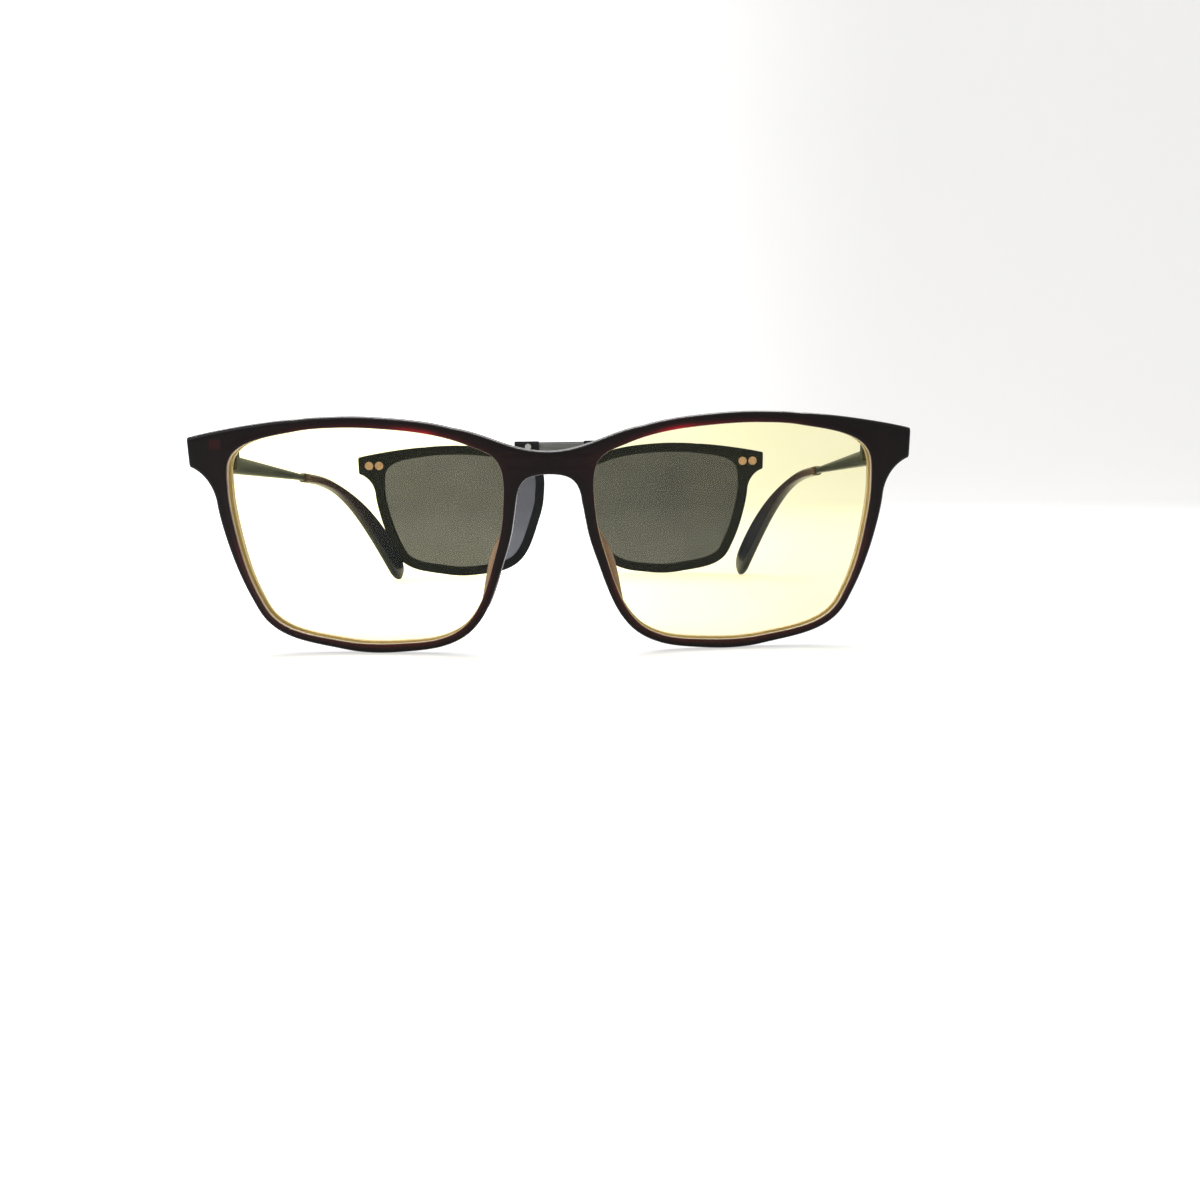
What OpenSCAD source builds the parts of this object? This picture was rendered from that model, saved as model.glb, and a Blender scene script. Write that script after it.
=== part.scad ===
// Spectacles with a matching magnetic sun clip, shown with the clip taken off.
// Millimetres, +Z up. The front faces -Y and stands on its rims and temple tips.

/* [Lens openings] */
// Width of each opening in the front
lens_w = 54.8; // [50:0.1:57]
// Height of each opening
lens_h = 42.5; // [38:0.1:45]
// Gap between the two openings, across the nose
nose_gap = 16.6; // [15:0.1:20]
// Thickness of a spectacle lens
lens_t = 1.5; // [1.2:0.1:1.8]
// Radius that a spectacle lens is ground to
lens_curve = 180; // [160:5:200]
// Depth of the groove that holds a lens
groove_d = 0.6; // [0.4:0.05:0.8]

/* [Front] */
// How far an end piece reaches beyond its lens opening
end_reach = 7.9; // [7:0.1:9]
// Depth of the rims, front to back
rim_d = 3.2; // [3:0.1:4]
// Depth of the end pieces, front to back
end_d = 4.1; // [3.8:0.1:4.8]
// Width of the rim above a lens
rim_top = 2.05; // [1.8:0.05:2.8]
// Width of the rim beside the end piece
rim_side = 2.85; // [2.2:0.05:3.4]
// Width of the rim at the two lower corners
rim_corner = 1.75; // [1.5:0.05:2.2]
// Width of the rim below a lens
rim_bottom = 2; // [1.6:0.05:2.6]
// Width of the rim beside the nose
rim_nose = 2.1; // [1.9:0.05:3]
// Radius of the rounded edges
edge_r = 0.7; // [0.4:0.05:0.9]
// Height of the square outer face of an end piece
end_h = 5.4; // [4.8:0.1:6]
// How far an end piece's upper outer corner lies below the top of the openings
end_drop = 2.2; // [1.5:0.1:4]
// How far the top of the bridge lies below the top of the openings
bridge_drop = 4.8; // [3.5:0.1:6.5]
// Height of the bridge, bottom to top
bridge_h = 4.3; // [3.8:0.1:5.5]
// Radius that the front is bent to, seen from above
front_curve = 290; // [240:5:340]
// Angle that the front leans towards its face
front_lean = 7; // [4:0.5:10]
// How far the moulded nose pads stand out behind the rims
pad_d = 3.4; // [2.5:0.1:4.5]
// Length of a nose pad
pad_len = 15; // [12:0.5:17]

/* [Hinges] */
// Diameter of a hinge barrel
barrel_dia = 2.5; // [2.2:0.1:3]
// Height of the three barrels together
barrel_h = 3.8; // [3.2:0.1:4.4]
// Diameter of the hinge screw
screw_dia = 1.2; // [1:0.05:1.4]
// Distance of the hinge axis in from the outer face of the end piece
hinge_in = 5; // [4.6:0.1:6]
// How far the hinge's middle lies below the middle of the end piece's back
hinge_drop = 1.8; // [1.3:0.1:2.2]

/* [Temples] */
// How far the temples reach behind the hinge axis
temple_reach = 130; // [122:1:138]
// Distance behind the hinge axis at which a temple starts to bend
bend_at = 62; // [58:1:70]
// How far the end of a temple turns in towards the head
turn_in = 9.6; // [5:0.2:12]
// Thickness of the metal arm
arm_t = 1.2; // [1:0.1:1.5]
// Height of the metal arm at the hinge
arm_h = 3.8; // [3.2:0.1:4.2]
// Height of the metal arm where the plastic tip begins
arm_end_h = 1.7; // [1.4:0.1:2.2]
// Distance behind the hinge axis at which the plastic tip begins
tip_from = 54; // [46:1:64]
// Thickness of the plastic tip
tip_t = 2.6; // [2.4:0.1:3]
// Width of the paddle at the end of the tip
paddle_w = 8.4; // [7:0.1:9.5]

/* [Clip] */
// How far each end of the clip stops short of the front's end piece
clip_inset = 1.4; // [0.2:0.1:2.5]
// Depth of the clip's rims
clip_d = 1.6; // [1.4:0.1:2]
// Width of the clip's rims
clip_rim = 3.2; // [2.9:0.05:3.8]
// Thickness of a clip lens
clip_lens_t = 0.8; // [0.6:0.05:0.9]
// Length of the bar that joins the two clip rims
bar_len = 31; // [28:0.5:34]
// Height of the bar
bar_h = 4; // [3.4:0.1:4.6]
// Thickness of the bar
bar_t = 1; // [0.8:0.1:1.2]
// Diameter of a clip magnet
magnet_dia = 2.8; // [2.4:0.1:3]
// Distance between the clip's two magnets, middle to middle
magnet_pitch = 3.3; // [3.2:0.1:3.6]
// Gap between the temple ends and the clip
clip_gap = 1; // [0.8:0.1:3]
// How far the clip stands to the left of the spectacles' middle
clip_shift = 2.5; // [0:0.5:6]

/* [Fits] */
// Gap round a piece that is pressed or set in
seat = 0.03; // [0.02:0.01:0.05]
// Radial gap between a hinge barrel and its screw
run = 0.03; // [0.02:0.01:0.06]
// Gap between the faces of neighbouring barrels
side_gap = 0.06; // [0.05:0.01:0.1]

/* [Hidden] */

frame_col = [0.13, 0.06, 0.08];
metal_col = [0.42, 0.44, 0.42];
tip_col = [0.12, 0.11, 0.14];
clip_col = [0.11, 0.12, 0.12];
lens_col = [0.97, 0.95, 0.80, 0.4];
dark_col = [0.35, 0.35, 0.34, 0.8];
copper_col = [0.72, 0.42, 0.30];

// The lens shape: points round the opening as shares of its half width and half height,
// anticlockwise from the temple side, joined by a smooth closed curve.
shape = [[1, 0.43], [0.978, 0.682], [0.447, 0.966], [0.171, 0.995], [-0.103, 0.988],
    [-0.748, 0.839], [-0.931, 0.725], [-0.977, 0.205], [-0.921, -0.128], [-0.6, -0.887],
    [-0.542, -0.923], [-0.185, -1], [0.243, -0.987], [0.788, -0.734], [0.857, -0.56],
    [0.976, 0.04]];
n_shape = len(shape);

lens_x = nose_gap / 2 + lens_w / 2;
lens_z = rim_bottom + lens_h / 2;
lens_top = rim_bottom + lens_h;
front_w = nose_gap + 2 * (lens_w + end_reach);
side_x = front_w / 2;
end_z = lens_top - end_drop - end_h;
bridge_z = lens_top - bridge_drop - bridge_h;

function knot(i) = let (k = shape[(i % n_shape + n_shape) % n_shape]) [k.x * lens_w / 2, k.y * lens_h / 2];
function slope(i) =
    let (a = knot(i - 1), b = knot(i), c = knot(i + 1), d1 = norm(b - a), d2 = norm(c - b))
    ((b - a) / d1 * d2 + (c - b) / d2 * d1) / (d1 + d2);
// Point of the opening's outline at curve place s, measured from the opening's middle
function opening(s) =
    let (i = floor(s), t = s - i, a = knot(i), b = knot(i + 1), d = norm(b - a))
    (2 * t ^ 3 - 3 * t ^ 2 + 1) * a + (t ^ 3 - 2 * t ^ 2 + t) * d * slope(i)
    + (3 * t ^ 2 - 2 * t ^ 3) * b + (t ^ 3 - t ^ 2) * d * slope(i + 1);
function outward(s) = let (d = opening(s + 0.02) - opening(s - 0.02)) [d.y, -d.x] / norm(d);
function mid(p) = p + [lens_x, lens_z];

// Rim width by the direction seen from the lens middle, eased between named places
widths = [[-55, rim_corner], [-30, rim_corner], [18, rim_side], [75, rim_top], [112, rim_top],
    [150, rim_nose], [172, rim_nose], [205, rim_corner], [232, rim_corner], [270, rim_bottom],
    [305, rim_corner]];
function ease(t) = t * t * (3 - 2 * t);
function width_at(a, i = 0) = a > widths[i + 1][0] ? width_at(a, i + 1)
    : widths[i][1] + (widths[i + 1][1] - widths[i][1]) * ease((a - widths[i][0]) / (widths[i + 1][0] - widths[i][0]));
function turn(a) = a < -55 ? a + 360 : a;
function rim_width(s) = let (p = opening(s)) width_at(turn(atan2(p.y, p.x)));
function rim_edge(s) = mid(opening(s) + outward(s) * rim_width(s));

function span(a, b, n) = [for (i = [0 : n - 1]) a + (b - a) * i / n];
function bez(p, t) = (1 - t) ^ 3 * p[0] + 3 * (1 - t) ^ 2 * t * p[1] + 3 * (1 - t) * t ^ 2 * p[2] + t ^ 3 * p[3];

// Curve places where the end piece and the bridge leave the rim
end_a = -0.35;
end_b = 2;
nose_a = 4.8;
nose_b = 7.15;

// Outer edge of the end piece: a hollow step, the square end, then the brow line
end_low = rim_edge(end_a);
end_top = rim_edge(end_b);
corner = end_h * 0.07;
step_curve = [end_low, end_low + end_h * [0.01, 0.5], [side_x - end_h * 0.69, end_z - end_h * 0.27],
    [side_x - corner / 2, end_z - corner * 0.3]];
brow_curve = [[side_x - corner / 2, end_z + end_h + corner * 0.7], [side_x - end_h, end_z + end_h * 1.31],
    end_top + [end_h * 0.76, 0], end_top];
end_edge = concat([for (t = span(0, 1, 7)) bez(step_curve, t)],
    [step_curve[3], [side_x, end_z + corner], [side_x, end_z + end_h / 2],
    [side_x, end_z + end_h - corner]],
    [for (t = span(0, 1, 8)) bez(brow_curve, t)]);
// Outer edge of the bridge: down from the brow, across the middle and back up to the nose side
brow = rim_edge(nose_a);
nose = rim_edge(nose_b);
bridge_top = bridge_z + bridge_h;
brow_in = [brow, brow - nose_gap * [0.41, 0.065], [nose_gap * 0.42, bridge_top], [0, bridge_top]];
nose_in = [[0, bridge_z], [nose_gap * 0.4, bridge_z], nose + nose_gap * [-0.07, 0.36], nose];
bridge_edge = concat([for (t = span(0, 1, 10)) bez(brow_in, t)],
    [[0, bridge_top], [0, bridge_z + bridge_h / 2]], [for (t = span(0, 1, 8)) bez(nose_in, t)]);

// Curve places of every station round the rim, and the outer edge point of each
low_places = concat(span(nose_b, 8, 3), span(8, 9, 7), span(9, 10, 2), span(10, 11, 4), span(11, 12, 5),
    span(12, 13, 7), span(13, 14, 3), span(14, 15, 6), span(15, n_shape + end_a, 3));
n_top = 13;
places = concat(span(end_a, end_b, len(end_edge)), span(end_b, nose_a, n_top),
    span(nose_a, nose_b, len(bridge_edge)), low_places);
edge_pts = concat(end_edge, [for (s = span(end_b, nose_a, n_top)) rim_edge(s)], bridge_edge,
    [for (s = low_places) rim_edge(s)]);
n_st = len(places);
// Stations that lie on the middle plane: the bridge's top edge, its middle and its lower edge
mid_a = len(end_edge) + n_top + 10;
mid_b = mid_a + 2;
hole_pts = [for (s = places) mid(opening(s))];

function shifted(pts, d) = let (n = len(pts)) [for (i = [0 : n - 1])
    let (q = pts[(i + 1) % n] - pts[(i + n - 1) % n]) pts[i] - [q.y, -q.x] / norm(q) * d];

// The outer edge moved inwards, keeping the middle plane's stations on that plane
function edge_in(d) = let (q = shifted(edge_pts, d)) [for (i = [0 : n_st - 1])
    i == mid_a ? edge_pts[i] - [0, d] : i == mid_b ? edge_pts[i] + [0, d] : i == mid_a + 1 ? edge_pts[i] : q[i]];

// The bent surface of the front: how far behind the bridge a point lies
tall_curve = 400;
function sag(p) = p.x ^ 2 / (2 * front_curve) + (p.y - lens_z) ^ 2 / (2 * tall_curve);
function depth_at(p) = rim_d + (end_d - rim_d) * ease(min(1, max(0, (abs(p.x) - lens_x - lens_w * 0.38) / 9)));
// Lean of the front about its lowest edge
drop = min([for (p = edge_pts) (sag(p) + edge_r) * sin(front_lean) + p.y * cos(front_lean)]);
front_y = 0;
function placed(p, w) = [p.x, w * cos(front_lean) - p.y * sin(front_lean) + front_y,
    w * sin(front_lean) + p.y * cos(front_lean) - drop];
module lean() {
    translate([0, front_y, -drop]) rotate([front_lean, 0, 0]) children();
}

// Back surface of a spectacle lens, a sphere square to the bent front at the lens middle
lens_turn = asin(lens_x / front_curve);
ball = [lens_x - lens_curve * sin(lens_turn), lens_z];
flat_gaps = [for (p = hole_pts) sag(p) + sqrt(lens_curve ^ 2 - (p.x - ball.x) ^ 2 - (p.y - ball.y) ^ 2)];
mean_gap = (min(flat_gaps) + max(flat_gaps)) / 2;
ball_w = mean_gap + rim_d / 2 - lens_t / 2;
function ball_at(p, r) = ball_w - sqrt(r ^ 2 - (p.x - ball.x) ^ 2 - (p.y - ball.y) ^ 2);
function lens_front(p) = ball_at(p, lens_curve);
function lens_back(p) = ball_at(p, lens_curve - lens_t);

// One station's section: up the hole wall with its groove, then back down the outer wall
inner_in1 = shifted(hole_pts, -edge_r * 0.45);
inner_groove = shifted(hole_pts, -groove_d);
outer_in1 = edge_in(edge_r * 0.3);
outer_in2 = edge_in(edge_r);
function section(i) =
    let (h = hole_pts[i], a = inner_in1[i], g = inner_groove[i], e = edge_pts[i], e1 = outer_in1[i],
        e2 = outer_in2[i], dh = depth_at(h), de = depth_at(e), c = edge_r * 0.45)
    [placed(a, sag(a)), placed(h, sag(h) + c),
    placed(h, lens_front(h) - seat), placed(g, lens_front(g) - seat),
    placed(g, lens_back(g) + seat), placed(h, lens_back(h) + seat),
    placed(h, sag(h) + dh - c), placed(a, sag(a) + dh),
    placed(e2, sag(e2) + de), placed(e1, sag(e1) + de - edge_r * 0.3), placed(e, sag(e) + de - edge_r),
    placed(e, sag(e) + edge_r), placed(e1, sag(e1) + edge_r * 0.3), placed(e2, sag(e2))];
n_sec = 14;

// Skin of the whole front: both halves share the points of the middle plane
half_pts = [for (i = [0 : n_st - 1]) each section(i)];
function on_mid(k) = let (i = floor(k / n_sec)) i >= mid_a && i <= mid_b && k % n_sec >= 8;
function other(k) = on_mid(k) ? k : k + len(half_pts);
half_quads = [for (i = [0 : n_st - 1], j = [0 : n_sec - 1]) if (!(i >= mid_a && i < mid_b && j >= 8 && j < 13))
    let (i2 = (i + 1) % n_st, j2 = (j + 1) % n_sec)
    [i * n_sec + j, i * n_sec + j2, i2 * n_sec + j2, i2 * n_sec + j]];
half_tris = [for (q = half_quads) each [[q[0], q[1], q[2]], [q[0], q[2], q[3]]]];
module front_skin() {
    polyhedron(concat(half_pts, [for (p = half_pts) [-p.x, p.y, p.z]]),
        concat(half_tris, [for (t = half_tris) [other(t[2]), other(t[1]), other(t[0])]]), convexity = 8);
}

// Moulded nose pad: a fin behind the nose side of the rim that leans away from the nose
pad_root = 0.8;
pad_edge = 0.6;
pad_flare = 1.6;
function pad_place(d) = 8 + (d < 0 ? d / norm(knot(8) - knot(7)) : d / norm(knot(9) - knot(8)));
function pad_at(t, out, w) =
    let (s = pad_place(pad_len * (t - 0.3)), p = mid(opening(s) + outward(s) * out)) placed(p, sag(p) + w);
module pad_slice(t) {
    swell = sin(180 * (0.08 + 0.84 * t));
    reach = pad_d - pad_edge;
    translate(pad_at(t, rim_nose / 2, rim_d - pad_root)) sphere(r = pad_root, $fn = 14);
    translate(pad_at(t, rim_nose / 2 - pad_flare * swell, rim_d + reach * swell)) sphere(r = pad_edge, $fn = 14);
}
module nose_pad() {
    difference() {
        for (k = [0 : 4]) {
            hull() {
                pad_slice(k / 5);
                pad_slice((k + 1) / 5);
            }
        }
        lens_room();
    }
}

// Hinge place, taken from the end piece
hinge_x = side_x - hinge_in;
end_mid = [hinge_x, end_z + end_h / 2];
end_at = placed(end_mid, sag(end_mid) + end_d);
end_back = end_at.y;
hinge_z = end_at.z - hinge_drop;
barrel_r = barrel_dia / 2;
hinge_y = end_back + barrel_r + 0.45;
knuckle_h = (barrel_h - 2 * side_gap) / 3;
low_z = hinge_z - barrel_h / 2;
high_z = hinge_z + barrel_h / 2 - knuckle_h;

// Frame magnet, pushed into the end piece from behind: the hinge plate closes its pocket
magnet_w = 2.7;
magnet_h = 2;
magnet_d = 1;
magnet_front = 0.9;
magnet_x = side_x - end_reach * 0.785;
magnet_z = end_z + end_h * 0.58;
magnet_at = placed([magnet_x, magnet_z], sag([magnet_x, magnet_z]) + magnet_front);
magnet_top = magnet_at.z + magnet_h / 2;
module magnet_box(grow, extra) {
    translate([magnet_x - magnet_w / 2 - grow, magnet_at.y - grow, magnet_at.z - magnet_h / 2 - grow])
        cube([magnet_w + 2 * grow, magnet_d + grow + extra, magnet_h + 2 * grow]);
}

plate_w = 5.2;
plate_low = low_z;
plate_high = magnet_top + 0.3;
plate_h = plate_high - plate_low;
plate_t = 1.6;
plate_in = 1.1;
plate_back = end_back + plate_t - plate_in;
plate_x = hinge_x + barrel_r - plate_w / 2;
module plate_box(grow) {
    translate([plate_x - plate_w / 2 - grow, end_back - plate_in - grow, plate_low - grow])
        cube([plate_w + 2 * grow, plate_t + 3 + grow, plate_h + 2 * grow]);
}
module front_frame() color(frame_col) {
    difference() {
        union() {
            front_skin();
            nose_pad();
            mirror([1, 0, 0]) nose_pad();
        }
        for (s = [0, 1]) mirror([s, 0, 0]) {
            plate_box(seat);
            magnet_box(seat, 2);
        }
    }
}

// Length that passes through the bent front from its nearest to its farthest point
through = front_w * 0.2;
// Space round a lens and its groove that the nose pad keeps clear of
pad_gap = 0.15;
module lens_room() {
    lean() intersection() {
        ball_shell(lens_curve + pad_gap, lens_curve - lens_t - pad_gap);
        outline_bar(shifted(hole_pts, -groove_d - pad_gap));
    }
}
module ball_shell(r1, r2) {
    translate([ball.x, ball_w, ball.y]) difference() {
        sphere(r = r1, $fn = 240);
        sphere(r = r2, $fn = 240);
    }
}
module outline_bar(pts) {
    rotate([90, 0, 0]) translate([0, 0, -through]) linear_extrude(height = 2 * through) polygon(pts);
}
module lens() {
    lean() intersection() {
        ball_shell(lens_curve, lens_curve - lens_t);
        outline_bar(shifted(hole_pts, -groove_d + seat));
    }
}
module right_lens() color(lens_col) lens();
module left_lens() color(lens_col) mirror([1, 0, 0]) lens();
module right_frame_magnet() color(copper_col) magnet_box(0, 0);
module left_frame_magnet() color(copper_col) mirror([1, 0, 0]) magnet_box(0, 0);

// Hinge half set in the end piece: a plate and the two outer barrels
module knuckle(z, h, hole) {
    translate([hinge_x, hinge_y, z]) difference() {
        cylinder(r = barrel_r, h = h, $fn = 48);
        translate([0, 0, -1]) cylinder(d = hole, h = h + 2, $fn = 48);
    }
}
module front_hinge() {
    difference() {
        union() {
            translate([plate_x - plate_w / 2, end_back - plate_in, plate_low]) cube([plate_w, plate_t, plate_h]);
            for (z = [low_z, high_z]) {
                translate([hinge_x, hinge_y, z]) cylinder(r = barrel_r, h = knuckle_h, $fn = 48);
                translate([hinge_x - barrel_r, plate_back - 0.3, z])
                    cube([2 * barrel_r, hinge_y - plate_back + 0.3, knuckle_h]);
            }
        }
        translate([hinge_x, hinge_y, low_z - 1]) cylinder(d = screw_dia + 2 * seat, h = barrel_h + 2, $fn = 48);
        translate([hinge_x, hinge_y, low_z + knuckle_h])
            cylinder(r = barrel_r + 0.15, h = high_z - low_z - knuckle_h, $fn = 48);
    }
}
module right_front_hinge() color(metal_col) front_hinge();
module left_front_hinge() color(metal_col) mirror([1, 0, 0]) front_hinge();

head_h = 0.5;
module hinge_screw() {
    translate([hinge_x, hinge_y, low_z]) cylinder(d = screw_dia, h = barrel_h + 0.2, $fn = 48);
    translate([hinge_x, hinge_y, low_z + barrel_h]) difference() {
        cylinder(d = screw_dia + 0.9, h = head_h, $fn = 48);
        translate([-2, -0.12, head_h - 0.2]) cube([4, 0.24, 1]);
    }
}
module right_hinge_screw() color(metal_col) hinge_screw();
module left_hinge_screw() color(metal_col) mirror([1, 0, 0]) hinge_screw();

// Temple line: side view heights and plan places by distance behind the hinge axis
arm_x = hinge_x + barrel_r + 0.35;
arm_top = hinge_z + arm_h / 2;
reach = temple_reach;
fall = 0.065;
leaf_len = 5;
// Plan: straight over the hinge leaf, a slight toe-in, then the turn towards the head
toe_in = 1.2;
// How gently the turn inwards and the bend over the ear set in
turn_ease = 1.75;
ear_ease = 2.2;
function plan_x(d) = arm_x + arm_t / 2 - toe_in * max(0, min(d, bend_at) - leaf_len - 1) / (bend_at - leaf_len - 1)
    - (turn_in - toe_in) * (max(0, d - bend_at) / (reach - bend_at)) ^ turn_ease;
// Side view: a steady fall, then the bend over the ear, its depth set by where the tip meets the table
function mid_z(d, ear) = hinge_z - fall * d - ear * (max(0, d - bend_at) / (reach - bend_at)) ^ ear_ease;
function tip_w(d) = let (t = (d - tip_from) / (reach - tip_from))
    arm_end_h + 0.7 + (paddle_w - arm_end_h - 0.7) * ease(min(1, max(0, (t - 0.3) / 0.6)));
round_from = reach - 6;
ear_guess = hinge_z - fall * reach - paddle_w * 0.4;
function tip_foot(e) = min([for (r = tip_rings(e)) each [for (p = r) p.z]]);
ear_near = ear_guess + tip_foot(ear_guess);
ear = ear_near + tip_foot(ear_near);
function line_at(d, e = ear) = [plan_x(d), hinge_y + d, mid_z(d, e)];
function along(d, e = ear) = let (q = line_at(d + 0.5, e) - line_at(d - 0.5, e)) q / norm(q);
function up_at(d, e = ear) = let (a = along(d, e), u = [0, 0, 1] - a * a.z) u / norm(u);

// Skin of rings: each ring has the same number of points
module skin(rings) {
    n = len(rings[0]);
    m = len(rings);
    pts = [for (r = rings) each r];
    walls = [for (i = [0 : m - 2], j = [0 : n - 1]) each
        [[i * n + j, i * n + (j + 1) % n, (i + 1) * n + (j + 1) % n],
        [i * n + j, (i + 1) * n + (j + 1) % n, (i + 1) * n + j]]];
    ends = [[for (j = [n - 1 : -1 : 0]) j], [for (j = [0 : n - 1]) (m - 1) * n + j]];
    polyhedron(pts, concat(walls, ends), convexity = 6);
}
// Ring with rounded corners, w wide along side and h tall along up, about the temple line
function ring_at(d, w, h, n = 12, e = ear) = let (c = line_at(d, e), u = up_at(d, e), s = cross(along(d, e), u))
    [for (i = [0 : n - 1]) let (a = 360 * (i + 0.5) / n, cx = cos(a), cy = sin(a),
        k = 1 / (abs(cx) ^ 3.2 + abs(cy) ^ 3.2) ^ (1 / 3.2)) c + s * (w / 2 * cx * k) + u * (h / 2 * cy * k)];
// Tip rings: sleeve, bend and paddle, then a rounded end
function tip_rings(e) = concat([for (d = span(tip_from + 0.05, round_from, 18)) ring_at(d, tip_t, tip_w(d), 16, e)],
    [for (a = [0 : 15 : 75]) ring_at(round_from + 5 * sin(a), tip_t * (0.35 + 0.65 * cos(a)),
        tip_w(round_from) * (0.25 + 0.75 * cos(a)), 16, e)]);

// The arm stops just short of the leaned back face of the end piece
arm_foot = [arm_x + arm_t + 0.1, end_z + 0.5];
arm_gap = 0.3;
arm_front = placed(arm_foot, sag(arm_foot) + end_d)[1] + arm_gap - hinge_y;
core_stop = 14;
core_end = reach - core_stop;
function arm_height(d) = arm_h + (arm_end_h - arm_h) * ease(min(1, max(0, d) / (tip_from * 0.85)));
core_h = arm_end_h - 0.5;
module arm() {
    skin([for (d = concat([arm_front], span(0, tip_from, 12), [tip_from]))
        ring_at(d, arm_t, arm_height(d))]);
}
module core(grow, extra) {
    skin([for (d = concat([tip_from - 0.4], span(tip_from + 3, core_end, 10), [core_end + extra]))
        ring_at(d, arm_t - 0.3 + 2 * grow, core_h + 2 * grow, 8)]);
}
module temple() {
    union() {
        arm();
        core(0, 0);
    }
}
module right_temple() color(metal_col) temple();
module left_temple() color(metal_col) mirror([1, 0, 0]) temple();

// Temple's hinge half: the middle barrel on a small plate that is soldered to the arm
mid_low = low_z + knuckle_h + side_gap;
module temple_hinge() {
    difference() {
        union() {
            translate([hinge_x, hinge_y, mid_low]) cylinder(r = barrel_r, h = knuckle_h, $fn = 48);
            translate([hinge_x, hinge_y, mid_low]) cube([arm_x - hinge_x - 0.02, barrel_r, knuckle_h]);
            translate([arm_x - 0.62, hinge_y, mid_low]) cube([0.6, leaf_len, knuckle_h]);
        }
        translate([hinge_x, hinge_y, mid_low - 1]) cylinder(d = screw_dia + 2 * run, h = knuckle_h + 2, $fn = 48);
    }
}
module right_temple_hinge() color(metal_col) temple_hinge();
module left_temple_hinge() color(metal_col) mirror([1, 0, 0]) temple_hinge();

// Plastic tip: sleeve over the arm, a bend, and a flat paddle with a rounded end
module temple_tip() {
    difference() {
        skin(tip_rings(ear));
        core(seat, seat);
    }
}
module right_temple_tip() color(tip_col) temple_tip();
module left_temple_tip() color(tip_col) mirror([1, 0, 0]) temple_tip();

// Clip: the front's outline at the clip's own width, on a shell bent like the front
clip_w = front_w - 2 * clip_inset;
share = clip_w / front_w;
clip_edge = [for (i = [0 : n_st - 1]) i < len(end_edge) ? end_edge[i] * share : rim_edge(places[i]) * share];
clip_hole = [for (s = places) mid(opening(s) + outward(s) * (rim_width(s) - clip_rim)) * share];
clip_curve = front_curve;
// The clip stands behind the temple ends, which its hollow side faces
tip_x = plan_x(reach) + tip_t / 2 + clip_shift;
clip_y = hinge_y + reach + clip_gap + clip_curve - sqrt(clip_curve ^ 2 - tip_x ^ 2 - (lens_h / 2) ^ 2);
clip_low = min([for (p = clip_edge) p.y]);
module on_clip() {
    translate([-clip_shift, clip_y, -clip_low]) children();
}
module clip_shell(w1, w2) {
    translate([0, -clip_curve, clip_low + lens_h / 2]) difference() {
        sphere(r = clip_curve + w2, $fn = 240);
        sphere(r = clip_curve + w1, $fn = 240);
    }
}
groove_c = 0.5;
module clip_lens(grow) {
    w = (clip_d - clip_lens_t) / 2;
    intersection() {
        clip_shell(w - grow, w + clip_lens_t + grow);
        outline_bar(shifted(clip_hole, -groove_c - grow + seat));
    }
}
// The bar stands a little above the rims, on a block at the nose end of each rim's top
bar_rise = 1.2;
lug_w = 7.6;
lug_out = 1;
lug_h = 6;
bar_top = max([for (p = clip_edge) p.y]) + bar_rise;
bar_z = bar_top - bar_h / 2;
bar_x = bar_len / 2;
module slab(x0, x1, z0, z1) {
    translate([x0, -through, z0]) cube([x1 - x0, 2 * through, z1 - z0]);
}
module clip_rim_half() {
    difference() {
        intersection() {
            clip_shell(0, clip_d);
            union() {
                rotate([90, 0, 0]) translate([0, 0, -through]) linear_extrude(height = 2 * through) difference() {
                    polygon(clip_edge);
                    polygon(clip_hole);
                }
                slab(bar_x - lug_w, bar_x + lug_out, bar_top - lug_h, bar_top);
            }
        }
        clip_lens(seat);
        clip_magnets(seat);
        clip_screw(seat);
    }
}
screw_x = bar_x - lug_w / 2;
// The magnets lie in the clip's end piece, a wall's width outside the lens at their height
magnet_wall = 0.3;
magnet_line = (end_z + end_h * 0.5) * share;
magnet_reach = magnet_dia / 2 + seat + groove_c + magnet_wall;
opening_side = max([for (p = clip_hole) if (abs(p.y - magnet_line) < magnet_reach) p.x]);
clip_end = [opening_side + magnet_reach + magnet_pitch / 2, magnet_line];
function clip_back(x, z) = sqrt(clip_curve ^ 2 - x ^ 2 - (z - clip_low - lens_h / 2) ^ 2) - clip_curve;
module clip_magnets(grow) {
    for (k = [-0.5, 0.5]) {
        x = clip_end.x + k * magnet_pitch;
        translate([x, clip_back(x, clip_end.y) + 1 + grow, clip_end.y]) rotate([90, 0, asin(-x / clip_curve)])
            cylinder(d = magnet_dia + 2 * grow, h = 1.3 + 2 * grow, $fn = 48);
    }
}
module clip_screw(grow) {
    translate([screw_x, clip_back(screw_x, bar_z) - 0.2, bar_z]) rotate([-90, 0, asin(-screw_x / clip_curve)])
        union() {
            cylinder(d = 1.2 + 2 * grow, h = clip_d + bar_t + 0.2 - 0.2 * (grow > 0 ? 0 : 1), $fn = 48);
            if (grow == 0) translate([0, 0, -0.4]) cylinder(d = 2.2, h = 0.45, $fn = 48);
        }
}
bar_edge = 0.9;
module bar() {
    difference() {
        intersection() {
            clip_shell(clip_d + 0.02, clip_d + 0.02 + bar_t);
            slab(-bar_x + bar_edge, bar_x - bar_edge, bar_z - bar_h / 2 + bar_edge / 3, bar_top - bar_edge / 3);
        }
        clip_screw(seat);
        mirror([1, 0, 0]) clip_screw(seat);
    }
}
module clip_right_rim() color(clip_col) on_clip() clip_rim_half();
module clip_left_rim() color(clip_col) on_clip() mirror([1, 0, 0]) clip_rim_half();
module clip_bridge_bar() color(metal_col) on_clip() bar();
module clip_right_lens() color(dark_col) on_clip() clip_lens(0);
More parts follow.
